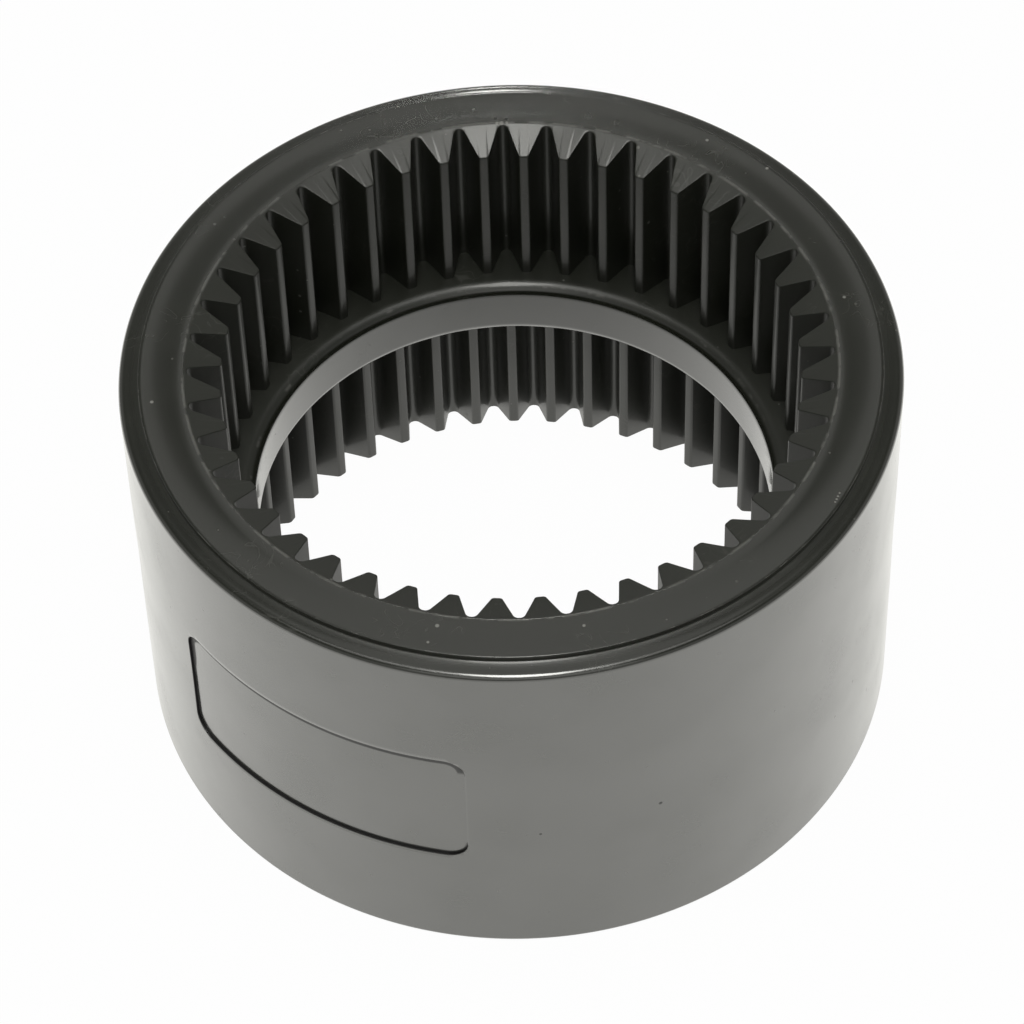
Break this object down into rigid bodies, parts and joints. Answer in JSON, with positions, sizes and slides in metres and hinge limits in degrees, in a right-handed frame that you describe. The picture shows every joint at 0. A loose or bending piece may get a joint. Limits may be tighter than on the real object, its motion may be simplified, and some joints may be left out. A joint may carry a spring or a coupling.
{
  "type": "gear coupling sleeve",
  "caption": "Moulded black nylon gear coupling sleeve: a thick ring with internal teeth in both ends and a plain web between, for joining a motor to a hydraulic pump.",
  "frame": {"origin": "centre of the lower end face, on the sleeve's axis", "axes": "+Z along the sleeve's axis, from the lower end face to the upper one"},
  "size_m": [0.083, 0.083, 0.048],
  "materials": {
    "black_nylon": "satin moulded nylon, fine moulding marks"
  },
  "bodies": {
    "root": {"sleeve": "black_nylon"}
  },
  "joints": []
}
